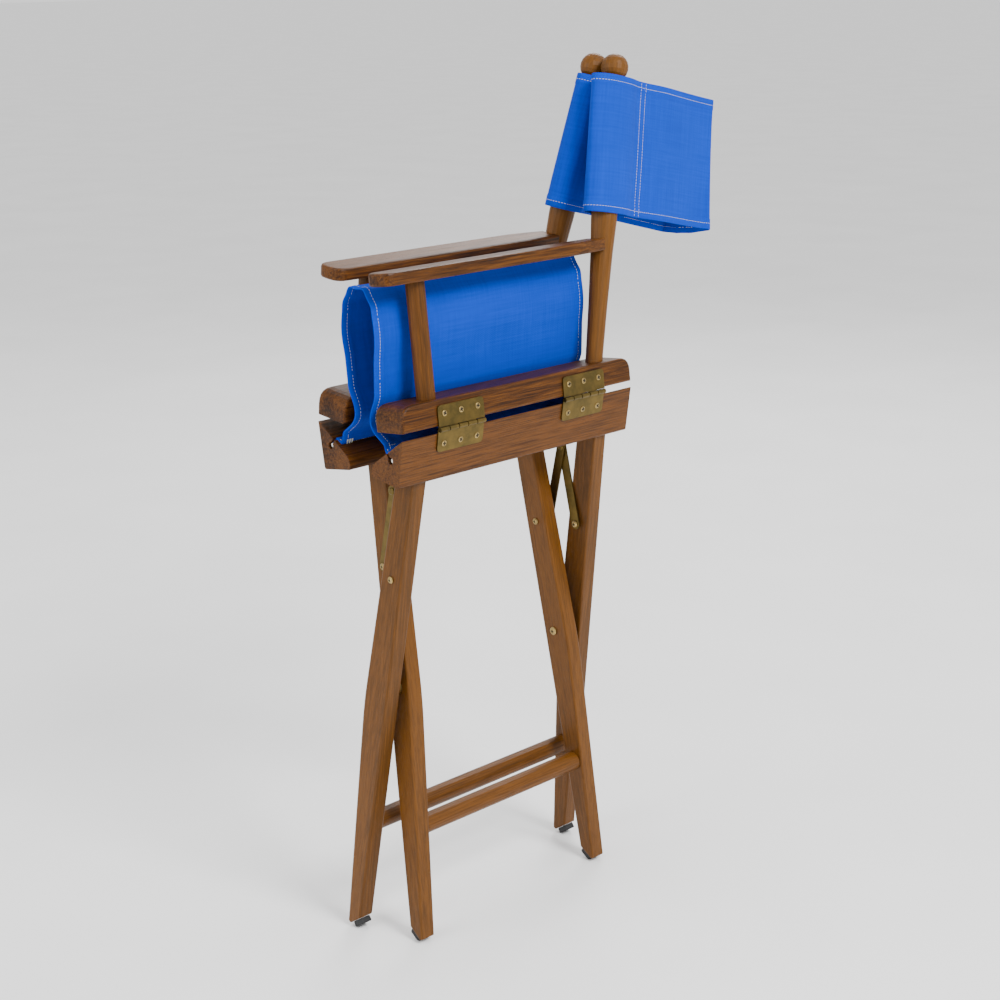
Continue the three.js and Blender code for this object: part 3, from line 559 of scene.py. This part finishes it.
def make_seat(side, materials):
    sign = SIDES[side]
    names = [f"{side}_seat_canvas_bend_{i}" for i in range(1, 6)]
    pivots = [np.array(joints[name]["pos_m"], float) for name in names]
    tip = pivots[-1] + np.array((-sign * SEAT_TIP, 0, 0))
    stations = pivots + [tip]
    runs = [unit(b - a) for a, b in zip(stations, stations[1:])]
    reach = [np.linalg.norm(b - a) for a, b in zip(stations, stations[1:])]
    forward = np.array((0.0, 1.0, 0.0))
    travelled = 0.0
    for i, name in enumerate(names):
        pivot = pivots[i]
        last = i == len(names) - 1
        after = reach[i] if last else reach[i] / 2
        radius_after = min(BEND_REACH, BEND_SHARE * after)
        if i == 0:
            bend = Bend(name, pivot, pivot + runs[0] * radius_after)
            along = turned_about(runs[0][None], np.zeros(3), bend.axis, np.array([bend.travel]))[0]
            before = 0.0
        else:
            before = reach[i - 1] / 2
            radius_before = min(BEND_REACH, BEND_SHARE * before)
            bend = Bend(name, pivot - runs[i - 1] * radius_before, pivot + runs[i] * radius_after)
            along = runs[i - 1]
        outward = np.cross(forward, along) * sign

        def frame_of(points, pivot=pivot, along=along, outward=outward):
            return (pivot + points[:, :1] * along + points[:, 1:2] * forward + points[:, 2:] * outward)

        steps = max(6, int((before + after) / SEAT_STEP)) if i else 14
        lengths = np.linspace(-before, after, steps)
        lines = (SEAT_SLOT_LINE,) if i == 0 else ()
        piece = strip_piece(f"{side}_seat_cloth_{i + 1}", bend, frame_of, lengths, SEAT_DEPTH,
                            travelled, lines, seat_bow if i else None, materials)
        bend.fasten(piece)
        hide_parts(f"{side}_seat_canvas_{i + 1}")
        travelled += reach[i]


def make_slot_cloth(side, materials):
    """The hem of the seat: two layers down the keyhole slot and round the rod."""
    low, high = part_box(f"{side}_seat_rod")
    rod = (Vector(low) + Vector(high)) / 2
    mouth = Vector(joints[f"{side}_seat_canvas_bend_1"]["pos_m"])
    down = (Vector((rod.x, 0, rod.z)) - Vector((mouth.x, 0, mouth.z)))
    depth = down.length
    down.normalize()
    across = Vector((0, 1, 0)).cross(down)
    inner, outer = [], []
    for i in range(HEM_SEGMENTS + 1):
        angle = HEM_OPENING + (2 * math.pi - 2 * HEM_OPENING) * i / HEM_SEGMENTS
        for turn, radius in ((inner, ROD_RADIUS + HEM_INSIDE), (outer, ROD_RADIUS + HEM_OUTSIDE)):
            turn.append(across * (math.sin(angle) * radius) + down * (depth - math.cos(angle) * radius))
    first, last = outer[0].copy(), outer[-1].copy()
    outer = ([first + down * (HEM_TOP - first.dot(down))] + outer
             + [last + down * (HEM_TOP - last.dot(down))])
    gap_first, gap_last = inner[0].copy(), inner[-1].copy()
    inner = [gap_first * HEM_PINCH + down * (HEM_TOP - gap_first.dot(down) * HEM_PINCH)] + inner
    inner += [gap_last * HEM_PINCH + down * (HEM_TOP - gap_last.dot(down) * HEM_PINCH)]
    ring = outer + inner[::-1]
    rows = np.linspace(-SEAT_DEPTH / 2, SEAT_DEPTH / 2, 12) + SEAT_MIDDLE + rail_middle()
    points = [(mouth.x + p.x, y, mouth.z + p.z) for y in rows for p in ring]
    lengths = np.linspace(0, 0.04, len(outer))
    flat = [(u, y) for y in rows for u in list(lengths) + list(lengths[::-1])]
    builder = Builder()
    builder.add(points, loft_faces(len(rows), len(ring)), flat, 0)
    piece = builder.object(f"{side}_seat_rod_hem", materials)
    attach(piece, f"{side}_frame")


def rail_middle():
    """Y of the middle of the rails."""
    low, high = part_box("near_seat_rail")
    return (low[1] + high[1]) / 2


# -------------------------------------------------------------------- back


def back_bow(s, h):
    """The panels belly outward between the sleeve and the rear fold, most of it soon after the sleeve."""
    t = np.clip((s - BOW_START) / (BOW_END - BOW_START), 0, 1) ** 0.6
    return np.sin(math.pi * t) ** 2 * (BOW_DEPTH + 0.0008 * np.sin(s * 47 + h * 12) * np.cos(h * 30))


def sleeve_line(half_depth, panel_end, front):
    """Middle of the cloth seen from above, as (s, n): from the panel's rear end along the outside of the
    post, round the front fold and back along the inside to where it is sewn down."""
    outside = [(0.075, 0.0), (0.060, 0.0006), (0.046, 0.28), (0.034, 0.60), (0.020, 0.90), (0.004, 1.0),
               (-0.010, 0.97), (front * 0.68, 0.80), (front * 0.9, 0.46)]
    corners = [(s, n * half_depth if s < 0.05 else n) for s, n in outside]
    corners += [(front, 0.0018), (front, -0.0018)]
    corners += [(s, -n) for s, n in corners[8:3:-1]]
    corners += [(0.020, -0.80 * half_depth), (0.034, -0.42 * half_depth), (0.043, -0.0030), (0.057, -0.0016)]
    line = np.array([(panel_end, 0.0), ((panel_end + 0.075) / 2, 0.0)] + corners)
    for _ in range(3):
        kept = [line[0]]
        for first, second in zip(line, line[1:]):
            kept += [first * 0.75 + second * 0.25, first * 0.25 + second * 0.75]
        line = np.array(kept + [line[-1]])
    reach = arc_lengths(line)
    return np.array([[np.interp(at * reach[-1], reach, line[:, k]) for k in (0, 1)] for at in dense()])


def dense():
    """Shares of the length at which a section is drawn: closer together towards the sleeve."""
    return np.concatenate([np.linspace(0, 0.42, 34, endpoint=False), np.linspace(0.42, 1, 72)])


def arc_lengths(line):
    return np.concatenate([[0], np.cumsum(np.linalg.norm(np.diff(line, axis=0), axis=1))])


def line_normals(line):
    """Unit normals of an (s, n) line, to the left of its run."""
    run = np.gradient(line, axis=0)
    run /= np.linalg.norm(run, axis=1)[:, None]
    return np.column_stack([run[:, 1], -run[:, 0]])


def make_back(side, materials):
    sign = SIDES[side]
    turn, bend_1, bend_2 = (joints[f"{side}_back_canvas_{n}"] for n in ("turn", "bend_1", "bend_2"))
    centre = np.array(turn["pos_m"], float)
    end = np.array(bend_1["pos_m"], float)
    slant_end = np.array(bend_2["pos_m"], float)
    panel_length = np.linalg.norm(end - centre)
    along = unit(end - centre)
    pitch = BACK_PITCH[side]
    lean = -sign * ARM_LEAN
    up = np.array((math.cos(pitch) * math.sin(lean), math.sin(pitch), math.cos(pitch) * math.cos(lean)))
    up = unit(up - along * (up @ along))
    slant = unit(slant_end - end)
    fold_up = np.array(bend_2["axis"], float)
    fold_up *= math.copysign(1, fold_up[2])
    toward = turned_about(slant[None], np.zeros(3), np.array(bend_2["axis"], float),
                          np.array([-couplings[bend_2["name"]] * FOLD_TRAVEL]))[0]
    outward = np.cross(along, up) * sign
    slant_outward = np.cross(slant, fold_up) * sign
    make_sleeve(side, centre, along, up, outward, panel_length, materials)

    slant_length = np.linalg.norm(slant_end - end)
    mean_up = unit(up + fold_up)
    chord = unit(along + slant)
    chord = unit(chord - mean_up * (chord @ mean_up))
    radius = slant_length / 2 * BEND_SHARE
    first = Bend(bend_1["name"], end - chord * radius, end + chord * radius)
    second_chord = unit(slant + toward)
    second = Bend(bend_2["name"], slant_end - second_chord * radius, slant_end + second_chord * radius)
    plans = [
        (2, first, end, along, up, outward, SLEEVE_BEFORE_BEND, slant_length / 2, panel_length, back_bow),
        (3, second, slant_end, slant, fold_up, slant_outward, slant_length / 2, BACK_TIP,
         panel_length + slant_length, None),
    ]
    for number, bend, pivot, run, rise, out, before, after, offset, bow in plans:

        def frame_of(points, pivot=pivot, run=run, rise=rise, out=out):
            return pivot + points[:, :1] * run + points[:, 1:2] * rise + points[:, 2:] * out

        lengths = np.linspace(-before, after, max(10, int((before + after) / BACK_STEP)))
        piece = strip_piece(f"{side}_back_cloth_{number}", bend, frame_of, lengths, BACK_HEIGHT,
                            offset, (), bow, materials)
        bend.fasten(piece)
        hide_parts(f"{side}_back_canvas_{number}")


def make_sleeve(side, centre, along, up, outward, panel_length, materials):
    """The panel with its sleeve round the post, up to where the cloth starts to bend."""
    panel_end = panel_length - SLEEVE_BEFORE_BEND
    front = SLEEVE_FRONT[side]

    def place(points):
        raised = points.copy()
        raised[:, 2] += back_bow(points[:, 0], points[:, 1])
        return centre + raised[:, :1] * along + raised[:, 1:2] * up + raised[:, 2:] * outward

    heights, half = across_profile(BACK_HEIGHT)
    depths = np.interp(heights, (-0.084, -0.05, 0.0, 0.05, 0.084), POST_HALF_DEPTHS)
    builder = Builder()
    rows, flat = [], []
    for h, depth, thick in zip(heights, depths, half):
        line = sleeve_line(depth, panel_end, front)
        normal = line_normals(line)
        reach = arc_lengths(line)
        inside = line[::-1] - normal[::-1] * thick
        for ply, distances in ((line + normal * thick, reach), (inside, reach[::-1])):
            rows += [(s, h, n) for s, n in ply]
            flat += [(panel_end - at, h) for at in distances]
    rows = np.array(rows)
    ring = len(rows) // len(heights)
    builder.add(place(rows), loft_faces(len(heights), ring), flat, 0)

    edge = BACK_HEIGHT / 2 - HEM_STITCH
    for h in (-edge, edge):
        line = sleeve_line(float(np.interp(h, heights, depths)), panel_end, front)
        add_line_dashes(builder, line, h, HEM_HALF, place)
        beyond_seam = dash_points(SEAM_LINES[1] + SEAM_CLEARANCE, panel_end, h, -HEM_HALF, True)
        add_dashes(builder, beyond_seam, place)
    for s in SEAM_LINES:
        for surface in (1, -1):
            add_seam(builder, s, surface, (heights, depths, half), panel_end, front, place)
    piece = builder.object(f"{side}_back_cloth_1", materials)
    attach(piece, f"{side}_back_panel")
    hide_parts(f"{side}_back_canvas_1")
    length = arc_lengths(sleeve_line(float(depths.mean()), panel_end, front))[-1]


def stitch_ring(spot, run, normal, cross, rise):
    """Corners of one stitch: a low ridge along run, standing on the surface that normal points out of."""
    ring = []
    for offset, width, lifted in ((-0.5, 0.4, 0.0), (-0.25, 1, 1.0), (0.25, 1, 1.0), (0.5, 0.4, 0.0)):
        for side in (-1, 0, 1):
            lift = rise + lifted * (THREAD_CROWN if side == 0 else THREAD_SIDE) - THREAD_SUNK
            ring.append(spot + run * offset * DASH_LENGTH + cross * side * width * DASH_HALF_WIDTH
                        + normal * lift)
    return np.array(ring)


def add_line_dashes(builder, line, height, surface, place):
    """Hem stitches along the outside of a section line."""
    reach, normals = arc_lengths(line), line_normals(line)
    for i in range(int((reach[-1] - HEM_DASH_END) / DASH_PITCH)):
        at = (i + 0.5) * DASH_PITCH
        s, n = (np.interp(at, reach, line[:, k]) for k in (0, 1))
        out = unit([np.interp(at, reach, normals[:, k]) for k in (0, 1)])
        run = np.array([-out[1], 0.0, out[0]])
        ring = stitch_ring(np.array([s, height, n]), run, np.array([out[0], 0.0, out[1]]),
                           np.array([0.0, 1.0, 0.0]), surface)
        builder.add(place(ring), DASH_FACES, ring[:, :2], 1)


def add_seam(builder, s, surface, profile, panel_end, front, place):
    """A row of stitches from edge to edge, through both plies, on the outside or the inside."""
    heights, depths, half = profile
    edge = BACK_HEIGHT / 2 - SEAM_INSET
    for i in range(int(2 * edge / DASH_PITCH)):
        h = -edge + (i + 0.5) * DASH_PITCH
        line = sleeve_line(float(np.interp(h, heights, depths)), panel_end, front)
        turn_back = int(np.argmin(line[:, 0]))
        ply = line[:turn_back][::-1] if surface > 0 else line[turn_back:]
        n = float(np.interp(s, ply[:, 0], ply[:, 1]))
        slope = float(np.interp(s + SLOPE_RUN, ply[:, 0], ply[:, 1]) - n) / SLOPE_RUN
        out = unit([-slope * surface, 0.0, surface])
        ring = stitch_ring(np.array([s, h, n]), np.array([0.0, 1.0, 0.0]), out,
                           unit([1.0, 0.0, slope]), float(np.interp(h, heights, half)))
        builder.add(place(ring), DASH_FACES, ring[:, :2], 1)


# ---------------------------------------------------------------- hardware


def screw_mesh(name, radius, rise, materials):
    """Countersunk screw head standing on +Z, with its cross recess as painted shade: a flat cross in the
    dark second material just above the dome.
    """
    rings = [(0.0, 1.0), (rise * 0.55, 0.97), (rise * 0.9, 0.78), (rise, 0.5)]
    segments = 24
    builder = Builder()
    points = []
    for height, share in rings:
        for i in range(segments):
            angle = 2 * math.pi * i / segments
            points.append((radius * share * math.cos(angle), radius * share * math.sin(angle), height))
    points.append((0, 0, rise * 1.02))
    faces = []
    for r in range(len(rings) - 1):
        for c in range(segments):
            d = (c + 1) % segments
            lower, upper = r * segments, (r + 1) * segments
            faces.append((lower + c, lower + d, upper + d, upper + c))
    last = (len(rings) - 1) * segments
    faces += [(last + c, last + (c + 1) % segments, len(points) - 1) for c in range(segments)]
    builder.add(points, faces)
    # Painted shade: the recess is not cut, but drawn as a flat dark cross.
    arm, width, lift = radius * 0.68, radius * 0.24, rise * 1.03
    cross = []
    for i in range(4):
        angle = math.pi / 2 * i
        corner = math.pi / 4 + angle
        tip = np.array((math.cos(angle), math.sin(angle))) * arm
        side = np.array((-math.sin(angle), math.cos(angle))) * width
        waist = np.array((math.cos(corner), math.sin(corner))) * width * math.sqrt(2)
        cross += [(*(tip - side), lift), (*(tip + side), lift), (*waist, lift)]
    builder.add(cross, [tuple(range(12))], None, 1)
    return builder.object(name, materials)


def place_recesses(materials):
    """A screw head whose cross recess is painted shade, on both heads of each stay bolt and on the inner
    head of each pivot bolt.
    """
    bolts = [(f"{side}_{place}_stay_bolt", f"{side}_frame", STAY_RECESS_RADIUS, (-1, 1))
             for side in SIDES for place in ("front", "back")]
    for place, inner_end in (("front", 1), ("back", -1)):
        bolts.append((f"pivot_{place}_bolt", "pivots", PIVOT_RECESS_RADIUS, (inner_end,)))
    for name, body, radius, ends in bolts:
        low, high = (Vector(c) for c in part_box(name))
        middle = (low + high) / 2
        for end in ends:
            facing = Vector((0, end, 0)).to_track_quat("Z", "Y").to_matrix().to_4x4()
            piece = f"{name}_recess_{'back' if end > 0 else 'front'}"
            recess = screw_mesh(piece, radius, RECESS_RISE, materials)
            face = (high if end > 0 else low).y - end * RECESS_SINK
            recess.matrix_world = Matrix.Translation((middle.x, face, middle.z)) @ facing
            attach(recess, body)


def place_screws(materials):
    """Three countersunk screws in each hinge leaf."""
    pattern = screw_mesh("leaf_screw", LEAF_SCREW_RADIUS, LEAF_SCREW_RISE, materials)
    number = 0
    for side, sign in SIDES.items():
        for place in ("front", "back"):
            for leaf, tilt, body in (("lower", LEG_ANGLE, "frame"), ("upper", -ARM_LEAN, "arm")):
                low, high = (Vector(c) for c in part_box(f"{side}_{place}_hinge_{leaf}"))
                middle = (low + high) / 2
                normal = Vector((math.cos(tilt) * sign, 0, -math.sin(tilt)))
                climb = Vector((math.sin(tilt) * sign, 0, math.cos(tilt)))
                pin = Vector(joints[f"{side}_arm_hinge"]["pos_m"])
                rise, face = (-1, LOWER_LEAF_FACE) if leaf == "lower" else (1, UPPER_LEAF_FACE)
                for along in (-LEAF_SCREW_SPACING, 0.0, LEAF_SCREW_SPACING):
                    spot = pin + normal * face + climb * (rise * SCREW_DROP)
                    spot.y = middle.y + along
                    turn = normal.to_track_quat("Z", "Y").to_matrix().to_4x4()
                    spin = Matrix.Rotation(number * SCREW_TURN, 4, "Z")
                    number += 1
                    screw = bpy.data.objects.new(f"leaf_screw_{number}", pattern.data)
                    bpy.context.scene.collection.objects.link(screw)
                    screw.matrix_world = Matrix.Translation(spot) @ turn @ spin
                    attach(screw, f"{side}_{body}")
    bpy.data.objects.remove(pattern)


# ------------------------------------------------------------------- scene


def paint(node, material):
    mesh = frame["nodes"][node].data
    mesh.materials.clear()
    mesh.materials.append(material)


def paint_wood():
    level = (math.pi / 2, 0, 0)
    for side, sign in SIDES.items():
        leg = (0, -sign * LEG_ANGLE, 0)
        post = (0, sign * ARM_LEAN, 0)
        for i, name in enumerate(("front_leg", "back_leg")):
            shift = (0.31 * i, 0.2 * sign, 0.7 * i)
            paint(f"{side}_{name}", teak(f"teak_{side}_{name}", leg, shift, WOOD_TONES_AND_PAINTED_GLOSS["leg"]))
        for i, name in enumerate(("seat_rail", "arm_rail", "armrest", "stretcher")):
            shift = (0.17 * i + sign, 0.4 * i, 0.9 * i)
            tone = WOOD_TONES_AND_PAINTED_GLOSS["stretcher" if name == "stretcher" else "rail"]
            paint(f"{side}_{name}", teak(f"teak_{side}_{name}", level, shift, tone))
        shift = (0.5 * sign, 0, 0.3)
        paint(f"{side}_front_post", teak(f"teak_{side}_front_post", post, shift, WOOD_TONES_AND_PAINTED_GLOSS["front_post"]))
        raked = (POST_RAKE, sign * ARM_LEAN, 0)
        shift = (0.8 * sign, 0.1, 0.2)
        # Painted highlight: the back posts' pale tone stands in for gloss.
        paint(f"{side}_back_post", teak(f"teak_{side}_back_post", raked, shift, WOOD_TONES_AND_PAINTED_GLOSS["back_post"]))


def paint_fittings():
    olive = brass("olive_brass", (0.150, 0.100, 0.028), (0.085, 0.062, 0.020), 0.22)
    bright = brass("bright_brass", (0.42, 0.30, 0.115), (0.26, 0.185, 0.075), 0.18)
    black, white = rubber(), white_rod()
    for name in frame["nodes"]:
        if "glide" in name:
            paint(name, black)
        elif "seat_rod" in name:
            paint(name, white)
        elif "hinge" in name or name.endswith("_stay"):
            paint(name, olive)
        elif "bolt" in name or "washer" in name:
            paint(name, bright)
    # Painted shade for the screw recesses: near-black metal, mottled.
    dark = Nodes("screw_recess_painted_shade")
    recess_shade_mottle = dark.noise(dark.coordinates.outputs["Object"], 2000, 2)
    colour = dark.ramp(recess_shade_mottle, [(0.3, (0.010, 0.008, 0.004)), (0.7, (0.04, 0.03, 0.015))])
    screw_materials = [bright, dark.finish(Base_Color=colour, Roughness=0.7, Metallic=0.6)]
    place_screws(screw_materials)
    place_recesses(screw_materials)


def make_floor():
    builder = Builder()
    reach = FLOOR_REACH
    corners = [(x, y, 0.0) for x, y in ((-reach, -reach), (reach, -reach), (reach, reach), (-reach, reach))]
    builder.add(corners, [(0, 1, 2, 3)])
    n = Nodes("pale_floor")
    tone = n.noise(n.coordinates.outputs["Object"], 3, 2, 0.5)
    colour = n.ramp(tone, [(0.3, (0.86, 0.86, 0.86)), (0.7, (0.90, 0.90, 0.90))])
    floor = builder.object("floor", [n.finish(Base_Color=colour, Roughness=0.9)])


def make_light(name, place, size, power):
    data = bpy.data.lights.new(name, "AREA")
    data.shape = "DISK"
    data.size = size
    data.energy = power
    lamp = bpy.data.objects.new(name, data)
    bpy.context.scene.collection.objects.link(lamp)
    lamp.location = place
    aim = Vector(LIGHT_AIM) - Vector(place)
    lamp.rotation_mode = "QUATERNION"
    lamp.rotation_quaternion = aim.to_track_quat("-Z", "Y")


def make_lights():
    make_light("key", (2.4, -0.2, 2.6), 1.2, 125)
    make_light("fill", (-0.6, -3.2, 1.8), 2.2, 55)
    make_light("rim", (-1.6, 2.2, 2.6), 1.6, 55)
    world = bpy.data.worlds.new("studio")
    world.use_nodes = True
    world.node_tree.nodes["Background"].inputs["Color"].default_value = (1, 1, 1, 1)
    world.node_tree.nodes["Background"].inputs["Strength"].default_value = WORLD_STRENGTH
    bpy.context.scene.world = world


make_camera()
cloth = [canvas(), thread()]
for side_name in SIDES:
    make_seat(side_name, cloth)
    make_slot_cloth(side_name, cloth)
    make_back(side_name, cloth)
paint_wood()
paint_fittings()
make_floor()
make_lights()
